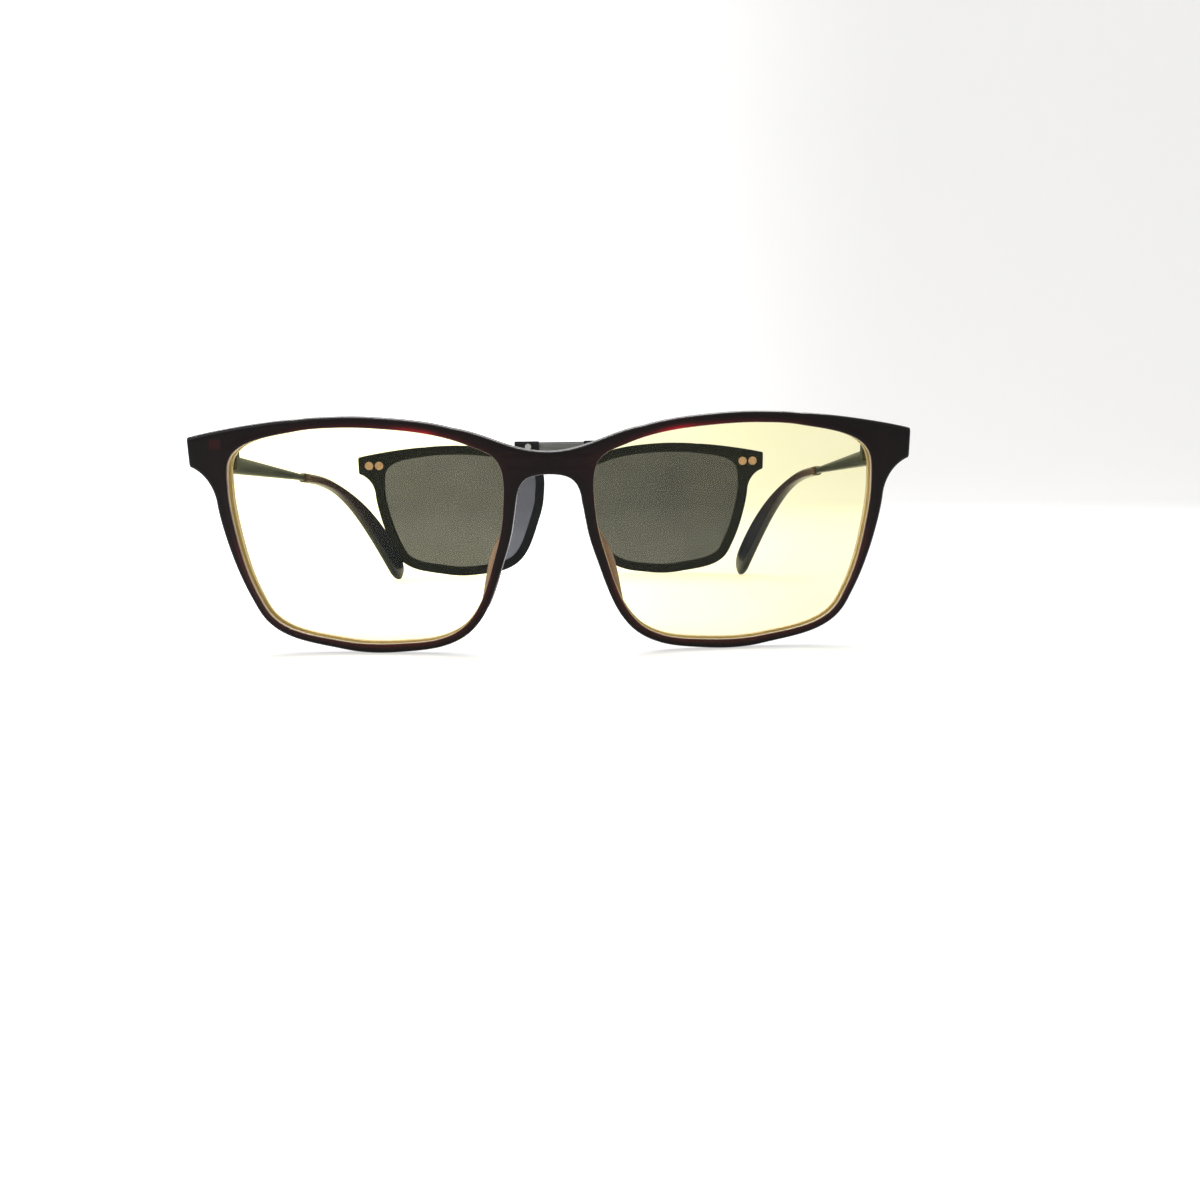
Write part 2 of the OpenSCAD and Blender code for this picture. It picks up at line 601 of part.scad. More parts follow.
module clip_left_lens() color(dark_col) on_clip() mirror([1, 0, 0]) clip_lens(0);
module clip_right_magnets() color(copper_col) on_clip() clip_magnets(0);
module clip_left_magnets() color(copper_col) on_clip() mirror([1, 0, 0]) clip_magnets(0);
module clip_right_screw() color(metal_col) on_clip() clip_screw(0);
module clip_left_screw() color(metal_col) on_clip() mirror([1, 0, 0]) clip_screw(0);

// The origin lies under the middle of the whole object
bar_back = clip_y + sqrt((clip_curve + clip_d + 0.02 + bar_t) ^ 2 - (bar_z - clip_low - lens_h / 2) ^ 2) - clip_curve;
origin_y = (bar_back + min([for (p = half_pts) p.y])) / 2;
origin_x = (min(-side_x, -clip_w / 2 - clip_shift) + max(side_x, clip_w / 2 - clip_shift)) / 2;
module part() {
    translate([-origin_x, -origin_y, 0]) children();
}
part() front_frame();
part() left_lens();
part() right_lens();
part() left_frame_magnet();
part() right_frame_magnet();
part() left_front_hinge();
part() right_front_hinge();
part() left_hinge_screw();
part() right_hinge_screw();
part() left_temple();
part() right_temple();
part() left_temple_hinge();
part() right_temple_hinge();
part() left_temple_tip();
part() right_temple_tip();
part() clip_left_rim();
part() clip_right_rim();
part() clip_bridge_bar();
part() clip_left_lens();
part() clip_right_lens();
part() clip_left_magnets();
part() clip_right_magnets();
part() clip_left_screw();
part() clip_right_screw();
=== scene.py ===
import math
import bpy
from mathutils import Matrix, Vector


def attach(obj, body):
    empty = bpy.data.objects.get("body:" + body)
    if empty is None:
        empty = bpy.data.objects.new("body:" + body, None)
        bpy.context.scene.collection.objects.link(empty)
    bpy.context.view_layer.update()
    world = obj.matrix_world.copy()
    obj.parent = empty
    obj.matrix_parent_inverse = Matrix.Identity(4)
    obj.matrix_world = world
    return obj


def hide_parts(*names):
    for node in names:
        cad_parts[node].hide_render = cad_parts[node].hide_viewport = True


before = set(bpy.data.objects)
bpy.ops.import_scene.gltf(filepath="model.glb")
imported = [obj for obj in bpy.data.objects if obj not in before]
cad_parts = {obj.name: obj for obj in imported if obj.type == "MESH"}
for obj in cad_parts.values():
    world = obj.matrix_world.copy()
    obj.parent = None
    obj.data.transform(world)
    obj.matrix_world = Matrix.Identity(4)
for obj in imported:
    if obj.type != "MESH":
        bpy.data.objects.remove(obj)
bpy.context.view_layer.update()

mm = 0.001

# Sizes in millimetres, the same as in the part's source
lens_w, lens_h, nose_gap = 54.8, 42.5, 16.6
lens_t, lens_curve, groove_d = 1.5, 180.0, 0.6
end_reach, rim_d, end_d, edge_r = 7.9, 3.2, 4.1, 0.7
rim_top, rim_side, rim_corner, rim_bottom, rim_nose = 2.05, 2.85, 1.75, 2.0, 2.1
end_h, end_drop, bridge_drop, bridge_h = 5.4, 2.2, 4.8, 4.3
front_curve, tall_curve, front_lean = 290.0, 400.0, 7.0
pad_d, pad_len, pad_edge, pad_flare = 3.4, 15.0, 0.6, 1.6
barrel_dia, arm_t, arm_h, arm_end_h = 2.5, 1.2, 3.8, 1.7
temple_reach, bend_at, turn_in, toe_in, fall, leaf_len = 130.0, 62.0, 9.6, 1.2, 0.065, 5.0
turn_ease, ear_ease = 1.75, 2.2
tip_from, tip_t, paddle_w = 54.0, 2.6, 8.4
clip_inset, clip_d, clip_rim, clip_lens_t, clip_groove = 1.4, 1.6, 3.2, 0.8, 0.5
clip_shift, bar_len, bar_rise, lug_w, lug_out, lug_h = 2.5, 31.0, 1.2, 7.6, 1.0, 6.0
bar_h, bar_t, bar_inset, clip_edge_r = 4.0, 1.0, 0.9, 0.3
# Gap between a lens and its groove
seat = 0.03
# How far the leaned front is let down to stand on the table
drop = 0.220544
# The hinge axis, the front end of the arm behind it, and how far the temple comes down over the ear
hinge_x, hinge_y, hinge_z, arm_start, ear = 66.0, 8.72944, 38.74, -0.545665, 30.1185
# The middle of the spectacles, the clip's hollow side and its lowest point
middle_x, middle_y = 0.55, -72.2625
clip_y, clip_low = 147.321, -0.2082
# Forms that only the looks have: the bridge set back a little, where the arm begins to taper, and how far
# its core wire stops short of the tip's end
bridge_step, bridge_half, bridge_soft = 0.16, 4.2, 0.8
arm_even, core_short = 12.0, 14.0
# Where the painted glow of a magnet shows through its end piece, and half its width and height there
magnet_out, magnet_up, magnet_half_w, magnet_half_h = 64.8, 41.7, 1.1, 0.8
# Angles in degrees up to which an edge is shaded smooth
body_smooth, lens_smooth = 50, 45

# Points of the lens outline, as shares of half its width and height
shape = [(1, 0.43), (0.978, 0.682), (0.447, 0.966), (0.171, 0.995), (-0.103, 0.988), (-0.748, 0.839),
         (-0.931, 0.725), (-0.977, 0.205), (-0.921, -0.128), (-0.6, -0.887), (-0.542, -0.923), (-0.185, -1),
         (0.243, -0.987), (0.788, -0.734), (0.857, -0.56), (0.976, 0.04)]
lens_x = nose_gap / 2 + lens_w / 2
lens_z = rim_bottom + lens_h / 2
side_x = nose_gap / 2 + lens_w + end_reach
end_z = rim_bottom + lens_h - end_drop - end_h
bridge_z = rim_bottom + lens_h - bridge_drop - bridge_h
middle = Vector((lens_x, lens_z))
stand = (middle_x * mm, middle_y * mm, 0)


# The lens shape: a smooth closed curve through its named points
def knot(i):
    x, y = shape[i % len(shape)]
    return Vector((x * lens_w / 2, y * lens_h / 2))


def slope(i):
    a, b, c = knot(i - 1), knot(i), knot(i + 1)
    d1, d2 = (b - a).length, (c - b).length
    return ((b - a) / d1 * d2 + (c - b) / d2 * d1) / (d1 + d2)


def opening(s):
    i = math.floor(s)
    t = s - i
    a, b = knot(i), knot(i + 1)
    d = (b - a).length
    return ((2 * t ** 3 - 3 * t ** 2 + 1) * a + (t ** 3 - 2 * t ** 2 + t) * d * slope(i)
            + (3 * t ** 2 - 2 * t ** 3) * b + (t ** 3 - t ** 2) * d * slope(i + 1))


def outward(s):
    d = opening(s + 0.02) - opening(s - 0.02)
    return Vector((d.y, -d.x)).normalized()


def ease(t):
    t = min(1.0, max(0.0, t))
    return t * t * (3 - 2 * t)


# Width of the rim by direction in degrees, seen from the lens middle
rim_widths = [(-55, rim_corner), (-30, rim_corner), (18, rim_side), (75, rim_top), (112, rim_top),
              (150, rim_nose), (172, rim_nose), (205, rim_corner), (232, rim_corner), (270, rim_bottom),
              (305, rim_corner)]


def rim_width(s):
    p = opening(s)
    a = math.degrees(math.atan2(p.y, p.x))
    a = a + 360 if a < -55 else a
    for (a0, w0), (a1, w1) in zip(rim_widths, rim_widths[1:]):
        if a <= a1:
            return w0 + (w1 - w0) * ease((a - a0) / (a1 - a0))
    return rim_corner


def rim_edge(s):
    return middle + opening(s) + outward(s) * rim_width(s)


def span(a, b, n):
    return [a + (b - a) * i / n for i in range(n)]


def bend(p, t):
    return (1 - t) ** 3 * p[0] + 3 * (1 - t) ** 2 * t * p[1] + 3 * (1 - t) * t * t * p[2] + t ** 3 * p[3]


# Outer edge of half the front: the stepped end piece, the brow, the bridge, then round the rim.
# The places are counted in points of the lens outline.
end_a, end_b, nose_a, nose_b = -0.35, 2, 4.8, 7.15
corner = end_h * 0.07
end_low, end_top, brow, nose = rim_edge(end_a), rim_edge(end_b), rim_edge(nose_a), rim_edge(nose_b)
step_line = [end_low, end_low + end_h * Vector((0.01, 0.5)),
             Vector((side_x - end_h * 0.69, end_z - end_h * 0.27)),
             Vector((side_x - corner / 2, end_z - corner * 0.3))]
brow_line = [Vector((side_x - corner / 2, end_z + end_h + corner * 0.7)),
             Vector((side_x - end_h, end_z + end_h * 1.31)), end_top + Vector((end_h * 0.76, 0)), end_top]
bridge_top = bridge_z + bridge_h
top_line = [brow, brow - nose_gap * Vector((0.41, 0.065)),
            Vector((nose_gap * 0.42, bridge_top)), Vector((0, bridge_top))]
nose_line = [Vector((0, bridge_z)), Vector((nose_gap * 0.4, bridge_z)),
             nose + nose_gap * Vector((-0.07, 0.36)), nose]
end_edge = ([bend(step_line, t) for t in span(0, 1, 16)] + [step_line[3]]
            + [Vector((side_x, end_z + corner + (end_h - 2 * corner) * k / 3)) for k in range(4)]
            + [bend(brow_line, t) for t in span(0, 1, 20)])
bridge_steps, middle_steps = 24, 4
bridge_edge = ([bend(top_line, t) for t in span(0, 1, bridge_steps)]
               + [Vector((0, bridge_top - bridge_h * k / middle_steps)) for k in range(middle_steps)]
               + [bend(nose_line, t) for t in span(0, 1, 20)])
low_places = (span(nose_b, 8, 6) + span(8, 9, 18) + span(9, 10, 6) + span(10, 11, 10) + span(11, 12, 12)
              + span(12, 13, 18) + span(13, 14, 8) + span(14, 15, 16) + span(15, 16 + end_a, 8))
top_places = span(end_b, nose_a, 36)
places = span(end_a, end_b, len(end_edge)) + top_places + span(nose_a, nose_b, len(bridge_edge)) + low_places
outer_edge = end_edge + [rim_edge(s) for s in top_places] + bridge_edge + [rim_edge(s) for s in low_places]
hole_edge = [middle + opening(s) for s in places]
mid_a = len(end_edge) + len(top_places) + bridge_steps
mid_b = mid_a + middle_steps


def shifted(line, d):
    """The closed line moved inwards by d."""
    moved = []
    for i, p in enumerate(line):
        q = line[(i + 1) % len(line)] - line[i - 1]
        moved.append(p - Vector((q.y, -q.x)).normalized() * d)
    return moved


def edge_in(d):
    """The outer edge moved inwards, with the points at the middle kept on the middle plane."""
    moved = shifted(outer_edge, d)
    for i in range(mid_a, mid_b + 1):
        moved[i] = Vector((0, bridge_top - d - (bridge_h - 2 * d) * (i - mid_a) / (mid_b - mid_a)))
    return moved


# The bent surface of the front and its lean
def sag(p):
    return p[0] ** 2 / (2 * front_curve) + (p[1] - lens_z) ** 2 / (2 * tall_curve)


def depth_at(p):
    return rim_d + (end_d - rim_d) * ease((abs(p[0]) - lens_x - lens_w * 0.38) / 9)


lean = math.radians(front_lean)


def placed(p, w):
    """A place on the leaned front: w is the distance behind its middle plane."""
    return Vector((p[0], w * math.cos(lean) - p[1] * math.sin(lean),
                   w * math.sin(lean) + p[1] * math.cos(lean) - drop)) * mm


def face(p):
    """The front surface: the bent shell, with the bridge set back a little between two soft steps."""
    return sag(p) + bridge_step * (1 - ease((abs(p[0]) - bridge_half) / bridge_soft))


# The ball that a lens is ground to, and its place between the faces of the rim
ball_x = lens_x - lens_curve * lens_x / front_curve
gaps = [sag(p) + math.sqrt(lens_curve ** 2 - (p.x - ball_x) ** 2 - (p.y - lens_z) ** 2) for p in hole_edge]
ball_w = (min(gaps) + max(gaps)) / 2 + rim_d / 2 - lens_t / 2


def lens_face(p, back):
    r = lens_curve - lens_t if back else lens_curve
    return ball_w - math.sqrt(r * r - (p[0] - ball_x) ** 2 - (p[1] - lens_z) ** 2)


# Modelling steps that the pieces share
def pick(*objects):
    if bpy.context.object and bpy.context.object.mode != "OBJECT":
        bpy.ops.object.mode_set(mode="OBJECT")
    bpy.ops.object.select_all(action="DESELECT")
    for obj in objects:
        obj.select_set(True)
        bpy.context.view_layer.objects.active = obj


def extrude_rings(rings):
    """A circle whose edge loop is extruded from ring to ring."""
    n = len(rings[0])
    pick()
    bpy.ops.mesh.primitive_circle_add(vertices=n, radius=1)
    obj = bpy.context.object
    for v, p in zip(obj.data.vertices, rings[0]):
        v.co = p
    for ring in rings[1:]:
        bpy.ops.object.mode_set(mode="EDIT")
        bpy.ops.mesh.select_mode(type="EDGE")
        bpy.ops.mesh.extrude_edges_move(TRANSFORM_OT_translate={"value": (0, 0, 0)})
        bpy.ops.object.mode_set(mode="OBJECT")
        first = len(obj.data.vertices) - n
        for k, p in enumerate(ring):
            obj.data.vertices[first + k].co = p
    return obj


def join_loops(obj, first, second):
    """Bridges two edge loops, each given by its vertex numbers."""
    pick(obj)
    for v in obj.data.vertices:
        v.select = False
    for f in obj.data.polygons:
        f.select = False
    for e in obj.data.edges:
        a, b = e.vertices
        e.select = (a in first and b in first) or (a in second and b in second)
    bpy.ops.object.mode_set(mode="EDIT")
    bpy.ops.mesh.select_mode(type="EDGE")
    bpy.ops.mesh.bridge_edge_loops()
    bpy.ops.object.mode_set(mode="OBJECT")


def fill_loop(obj, ring):
    """Closes an end with one face."""
    pick(obj)
    for v in obj.data.vertices:
        v.select = v.index in ring
    for f in obj.data.polygons:
        f.select = False
    for e in obj.data.edges:
        e.select = e.vertices[0] in ring and e.vertices[1] in ring
    bpy.ops.object.mode_set(mode="EDIT")
    bpy.ops.mesh.select_mode(type="EDGE")
    bpy.ops.mesh.edge_face_add()
    bpy.ops.object.mode_set(mode="OBJECT")


def swept(rings, closed=False):
    """A solid through all rings. Closed, the last ring joins the first. Else the two ends are capped."""
    obj = extrude_rings(rings)
    n = len(rings[0])
    last = set(range(n * (len(rings) - 1), n * len(rings)))
    if closed:
        join_loops(obj, set(range(n)), last)
    else:
        fill_loop(obj, set(range(n)))
        fill_loop(obj, last)
    return obj


def face_out(obj):
    pick(obj)
    bpy.ops.object.mode_set(mode="EDIT")
    bpy.ops.mesh.select_all(action="SELECT")
    bpy.ops.mesh.normals_make_consistent(inside=False)
    bpy.ops.object.mode_set(mode="OBJECT")


def move_piece(obj, offset):
    pick(obj)
    bpy.ops.transform.translate(value=offset)
    bpy.ops.object.transform_apply(location=True, rotation=True, scale=True)


def mirrored_copy(obj, about=0.0):
    """The left-hand piece: a copy turned over about an upright plane, with its own mesh."""
    pick(obj)
    bpy.ops.object.duplicate()
    twin = bpy.context.object
    bpy.ops.transform.resize(value=(-1, 1, 1), center_override=(about, 0, 0), orient_type="GLOBAL")
    bpy.ops.object.transform_apply(location=True, rotation=True, scale=True)
    face_out(twin)
    return twin


def join_pieces(main, *others):
    pick(*others, main)
    bpy.ops.object.join()
    return bpy.context.object


def finish_piece(obj, name, body, finish, node, smooth=body_smooth):
    """Names a piece, smooths and colours it, hides the node it replaces, and hangs it on the body that
    carries it.
    """
    pick(obj)
    obj.name = name
    obj.data.name = name
    bpy.ops.object.shade_smooth_by_angle(angle=math.radians(smooth))
    obj.data.materials.clear()
    obj.data.materials.append(finish)
    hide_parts(node)
    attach(obj, body)


# Camera: its place in millimetres and its angles in degrees
camera_place = (8.943, -247.1875, 34.764)
camera_turn, camera_tilt, camera_roll = -0.346, 90 - 7.889, -0.799


def set_camera():
    bpy.ops.object.camera_add(location=Vector(camera_place) * mm)
    camera = bpy.context.object
    camera.name = "camera"
    turn, tilt, roll = (math.radians(a) for a in (camera_turn, camera_tilt, camera_roll))
    camera.matrix_world = (Matrix.Translation(camera.location) @ Matrix.Rotation(turn, 4, "Z")
                           @ Matrix.Rotation(tilt, 4, "X") @ Matrix.Rotation(roll, 4, "Z"))
    camera.data.sensor_width = 36
    camera.data.lens = 27
    camera.data.clip_start = 0.005
    bpy.context.scene.camera = camera


# Materials
def new_finish(name):
    finish = bpy.data.materials.new(name)
    finish.use_nodes = True
    tree = finish.node_tree
    return finish, tree, tree.nodes["Principled BSDF"]


def add(tree, kind, place, **values):
    node = tree.nodes.new(kind)
    node.location = place
    for key, value in values.items():
        if hasattr(node, key):
            setattr(node, key, value)
        else:
            node.inputs[key.replace("_", " ")].default_value = value
    return node


def wire(tree, a, out, b, into):
    tree.links.new(a.outputs[out], b.inputs[into])


def grain(tree, scale, detail, stretch=(1, 1, 1), roughness=0.5, place=(-1100, 0)):
    coords = add(tree, "ShaderNodeTexCoord", (place[0] - 400, place[1]))
    size = add(tree, "ShaderNodeMapping", (place[0] - 200, place[1]), Scale=stretch)
    noise = add(tree, "ShaderNodeTexNoise", place, Scale=scale, Detail=detail, Roughness=roughness)
    wire(tree, coords, "Object", size, "Vector")
    wire(tree, size, "Vector", noise, "Vector")
    return noise


def ramp(tree, source, stops, place):
    node = add(tree, "ShaderNodeValToRGB", place)
    ramp_of = node.color_ramp
    ramp_of.elements[0].position, ramp_of.elements[0].color = stops[0][0], (*stops[0][1], 1)
    ramp_of.elements[1].position, ramp_of.elements[1].color = stops[-1][0], (*stops[-1][1], 1)
    for at, col in stops[1:-1]:
        ramp_of.elements.new(at).color = (*col, 1)
    tree.links.new(source, node.inputs["Fac"])
    return node


def remap(tree, place, source_from, source_to, low, high, curve="LINEAR"):
    node = add(tree, "ShaderNodeMapRange", place, interpolation_type=curve)
    sockets = ("From Min", "From Max", "To Min", "To Max")
    for socket, value in zip(sockets, (source_from, source_to, low, high)):
        node.inputs[socket].default_value = value
    return node


def spread(tree, source, low, high, place):
    node = remap(tree, place, 0, 1, low, high)
    tree.links.new(source, node.inputs["Value"])
    return node


def calculate(tree, place, operation, *inputs):
    """A calculation with numbers and outputs, each output given as a node with its socket's name."""
    node = add(tree, "ShaderNodeMath", place, operation=operation)
    for k, value in enumerate(inputs):
        if isinstance(value, tuple):
            wire(tree, *value, node, k)
        else:
            node.inputs[k].default_value = value
    return node


def seen_directly(tree, path, x, y):
    """One for rays from the camera, off a gloss or through a pane, else nought."""
    seen = calculate(tree, (x, y + 100), "MAXIMUM", (path, "Is Camera Ray"), (path, "Is Glossy Ray"))
    return calculate(tree, (x + 200, y), "MAXIMUM", (seen, "Value"), (path, "Is Transmission Ray"))


def object_axes(tree, place):
    coords = add(tree, "ShaderNodeTexCoord", (place[0] - 200, place[1]))
    parts = add(tree, "ShaderNodeSeparateXYZ", place)
    wire(tree, coords, "Object", parts, "Vector")
    return parts


def relief(tree, source, strength, distance, place=(-300, -400)):
    node = add(tree, "ShaderNodeBump", place, Strength=strength, Distance=distance)
    tree.links.new(source, node.inputs["Height"])
    return node


def magnet_glow(tree):
    """The magnet set in each end piece shows faintly as a redder square, a painted glow of light through the
    plastic, painted stronger in the left one where more light falls.
    """
    parts = object_axes(tree, (-2100, 500))
    out = calculate(tree, (-1900, 600), "SUBTRACT", (parts, "X"), middle_x * mm)
    aside = calculate(tree, (-1700, 600), "ABSOLUTE", (out, "Value"))
    masks = []
    for source, at, half, y in (((aside, "Value"), magnet_out, magnet_half_w, 600),
                                ((parts, "Z"), magnet_up, magnet_half_h, 400)):
        off = calculate(tree, (-1500, y), "SUBTRACT", source, at * mm)
        size = calculate(tree, (-1350, y), "ABSOLUTE", (off, "Value"))
        edge = remap(tree, (-1200, y), half * mm, (half + 0.5) * mm, 1, 0)
        wire(tree, size, "Value", edge, "Value")
        masks.append((edge, "Result"))
    both = calculate(tree, (-1000, 500), "MULTIPLY", *masks)
    # Painted light: the magnet's glow is stronger on the left, where more light falls.
    painted_light_by_side = remap(tree, (-1000, 700), -0.01, 0.01, 0.4, 0.16)
    wire(tree, parts, "X", painted_light_by_side, "Value")
    return calculate(tree, (-900, 500), "MULTIPLY", (both, "Value"), (painted_light_by_side, "Result"))


def front_plastic():
    """Polished burgundy plastic: nearly black where it is thick, with a painted red glow where light comes
    through.
    """
    finish, tree, shader = new_finish("polished burgundy plastic")
    cloud = grain(tree, 220, 4, place=(-1300, 200))
    # Painted light: the red glow of light coming through the thin plastic, broken up by a cloud, beside the
    # magnets' painted glow.
    glow = add(tree, "ShaderNodeAttribute", (-1300, -100), attribute_name="glow")
    patch = spread(tree, cloud.outputs["Fac"], 0.72, 1.22, (-1100, 200))
    depth = calculate(tree, (-950, 100), "MULTIPLY", (glow, "Fac"), (patch, "Result"))
    total = calculate(tree, (-850, 0), "MAXIMUM", (depth, "Value"), (magnet_glow(tree), "Value"))
    # From the plastic's own near-black to the painted red glow of light coming through it.
    body = ramp(tree, total.outputs["Value"],
                [(0.0, (0.0050, 0.0036, 0.0041)), (0.3, (0.012, 0.0046, 0.0048)),
                 (0.55, (0.040, 0.0068, 0.0075)), (0.8, (0.17, 0.0085, 0.014)), (1.0, (0.50, 0.013, 0.030))],
                (-750, 200))
    tan = add(tree, "ShaderNodeAttribute", (-950, -200), attribute_name="tan")
    warm = add(tree, "ShaderNodeMix", (-450, 200), data_type="RGBA")
    warm.inputs["B"].default_value = (0.62, 0.51, 0.45, 1)
    wire(tree, tan, "Fac", warm, "Factor")
    tree.links.new(body.outputs["Color"], warm.inputs["A"])
    tree.links.new(warm.outputs["Result"], shader.inputs["Base Color"])
    fine = grain(tree, 2600, 4, stretch=(1, 1, 0.35), place=(-1100, -500))
    gloss = spread(tree, fine.outputs["Fac"], 0.05, 0.12, (-550, -200))
    wire(tree, gloss, "Result", shader, "Roughness")
    bump = relief(tree, fine.outputs["Fac"], 0.04, 0.00002)
    wire(tree, bump, "Normal", shader, "Normal")
    shader.inputs["Specular IOR Level"].default_value = 0.12
    return finish


def tinted_pane(name, low, high, sheen, dull_low, dull_high, smear_scale, head_on, aslant):
    """A coated lens: light passes tinted, and a gloss broken by faint smears lies over it."""
    finish = bpy.data.materials.new(name)
    finish.use_nodes = True
    tree = finish.node_tree
    tree.nodes.clear()
    out = add(tree, "ShaderNodeOutputMaterial", (600, 0))
    mix = add(tree, "ShaderNodeMixShader", (400, 0))
    clear = add(tree, "ShaderNodeBsdfTransparent", (100, 100))
    gloss = add(tree, "ShaderNodeBsdfGlossy", (100, -100), distribution="BECKMANN", Color=(*sheen, 1))
    facing = add(tree, "ShaderNodeLayerWeight", (-500, 400), Blend=0.5)
    steep = calculate(tree, (-300, 400), "POWER", (facing, "Facing"), 4)
    weight = calculate(tree, (-100, 400), "MULTIPLY_ADD", (steep, "Value"), aslant, head_on)
    smear = grain(tree, smear_scale, 4, stretch=(1, 1, 1.6), place=(-600, 100))
    tint = ramp(tree, smear.outputs["Fac"], [(0.3, low), (0.75, high)], (-350, 100))
    dull = spread(tree, smear.outputs["Fac"], dull_low, dull_high, (-350, -200))
    wire(tree, tint, "Color", clear, "Color")
    wire(tree, dull, "Result", gloss, "Roughness")
    wire(tree, weight, "Value", mix, "Fac")
    wire(tree, clear, "BSDF", mix, 1)
    wire(tree, gloss, "BSDF", mix, 2)
    wire(tree, mix, "Shader", out, "Surface")
    return finish


def metal(name, low, high, brushed, rough):
    """Metal with a fine grain, drawn out along the way it was brushed."""
    finish, tree, shader = new_finish(name)
    brush = grain(tree, 900, 6, stretch=brushed, place=(-900, 100))
    shade = ramp(tree, brush.outputs["Fac"], [(0.3, low), (0.7, high)], (-600, 100))
    wire(tree, shade, "Color", shader, "Base Color")
    gloss = spread(tree, brush.outputs["Fac"], rough[0], rough[1], (-600, -200))
    wire(tree, gloss, "Result", shader, "Roughness")
    bump = relief(tree, brush.outputs["Fac"], 0.04, 0.00002)
    wire(tree, bump, "Normal", shader, "Normal")
    shader.inputs["Metallic"].default_value = 1.0
    return finish


def tip_plastic():
    """Clear brown plastic at the sleeve that darkens to navy black at the paddle."""
    finish, tree, shader = new_finish("brown to navy tip plastic")
    parts = object_axes(tree, (-1300, 200))
    cloud = grain(tree, 220, 3, place=(-1300, -100))
    along = remap(tree, (-1050, 200), -0.0095, 0.066, 0, 1)
    wire(tree, parts, "Y", along, "Value")
    wobble = calculate(tree, (-850, 200), "MULTIPLY_ADD", (cloud, "Fac"), 0.12, (along, "Result"))
    shade = ramp(tree, wobble.outputs["Value"],
                 [(0.06, (0.088, 0.056, 0.042)), (0.22, (0.036, 0.019, 0.020)), (0.55, (0.018, 0.011, 0.015)),
                  (0.8, (0.010, 0.011, 0.018)), (1.0, (0.008, 0.010, 0.019))], (-600, 200))
    wire(tree, shade, "Color", shader, "Base Color")
    fine = grain(tree, 2400, 4, place=(-900, -400))
    gloss = spread(tree, fine.outputs["Fac"], 0.16, 0.32, (-600, -200))
    wire(tree, gloss, "Result", shader, "Roughness")
    bump = relief(tree, fine.outputs["Fac"], 0.05, 0.00003)
    wire(tree, bump, "Normal", shader, "Normal")
    shader.inputs["Specular IOR Level"].default_value = 0.2
    return finish


def clip_plastic():
    """Satin black with a slight green-grey cast."""
    finish, tree, shader = new_finish("satin black clip plastic")
    cloud = grain(tree, 260, 4, place=(-900, 100))
    shade = ramp(tree, cloud.outputs["Fac"],
                 [(0.3, (0.0042, 0.0055, 0.0060)), (0.75, (0.0078, 0.0094, 0.0100))], (-600, 100))
    wire(tree, shade, "Color", shader, "Base Color")
    fine = grain(tree, 3200, 4, place=(-900, -300))
    gloss = spread(tree, fine.outputs["Fac"], 0.3, 0.46, (-600, -200))
    wire(tree, gloss, "Result", shader, "Roughness")
    bump = relief(tree, fine.outputs["Fac"], 0.06, 0.00003)
    wire(tree, bump, "Normal", shader, "Normal")
    shader.inputs["Specular IOR Level"].default_value = 0.16
    return finish


# The front
def arc(steps):
    return [math.radians(90 * k / steps) for k in range(steps + 1)]


def front_rings():
    """Section by section: the hole wall with its groove, the back, the outer wall and the face."""
    hole_r = edge_r * 0.45

    def back(p):
        return sag(p) + depth_at(p)

    rings = []
    for a in arc(3):
        line = shifted(hole_edge, -hole_r * (1 - math.sin(a)))
        rings.append([placed(p, sag(h) + hole_r * (1 - math.cos(a))) for p, h in zip(line, hole_edge)])
    groove = shifted(hole_edge, -groove_d)
    rings.append([placed(h, lens_face(h, False) - seat) for h in hole_edge])
    rings.append([placed(g, lens_face(g, False) - seat) for g in groove])
    rings.append([placed(g, lens_face(g, True) + seat) for g in groove])
    rings.append([placed(h, lens_face(h, True) + seat) for h in hole_edge])
    for a in reversed(arc(3)):
        line = shifted(hole_edge, -hole_r * (1 - math.sin(a)))
        rings.append([placed(p, back(h) - hole_r * (1 - math.cos(a))) for p, h in zip(line, hole_edge)])
    near, far = shifted(hole_edge, -hole_r), edge_in(edge_r)
    for k in (0.12, 0.5, 0.88):
        line = [a + (b - a) * k for a, b in zip(near, far)]
        rings.append([placed(p, back(p)) for p in line])
    for a in arc(5):
        line = edge_in(edge_r * (1 - math.sin(a)))
        rings.append([placed(p, back(p) - edge_r * (1 - math.cos(a))) for p in line])
    for a in reversed(arc(5)):
        line = edge_in(edge_r * (1 - math.sin(a)))
        rings.append([placed(p, face(p) + edge_r * (1 - math.cos(a))) for p in line])
    for k in (0.88, 0.5, 0.12):
        line = [a + (b - a) * k for a, b in zip(near, far)]
        rings.append([placed(p, face(p)) for p in line])
    return rings


def pad_place(d):
    """The place on the lens outline that lies d millimetres along it from the eighth point."""
    return 8 + (d / (knot(8) - knot(7)).length if d < 0 else d / (knot(9) - knot(8)).length)


def pad_point(t, out, w):
    s = pad_place(pad_len * (t - 0.3))
    p = middle + opening(s) + outward(s) * out
    return placed(p, sag(p) + w)


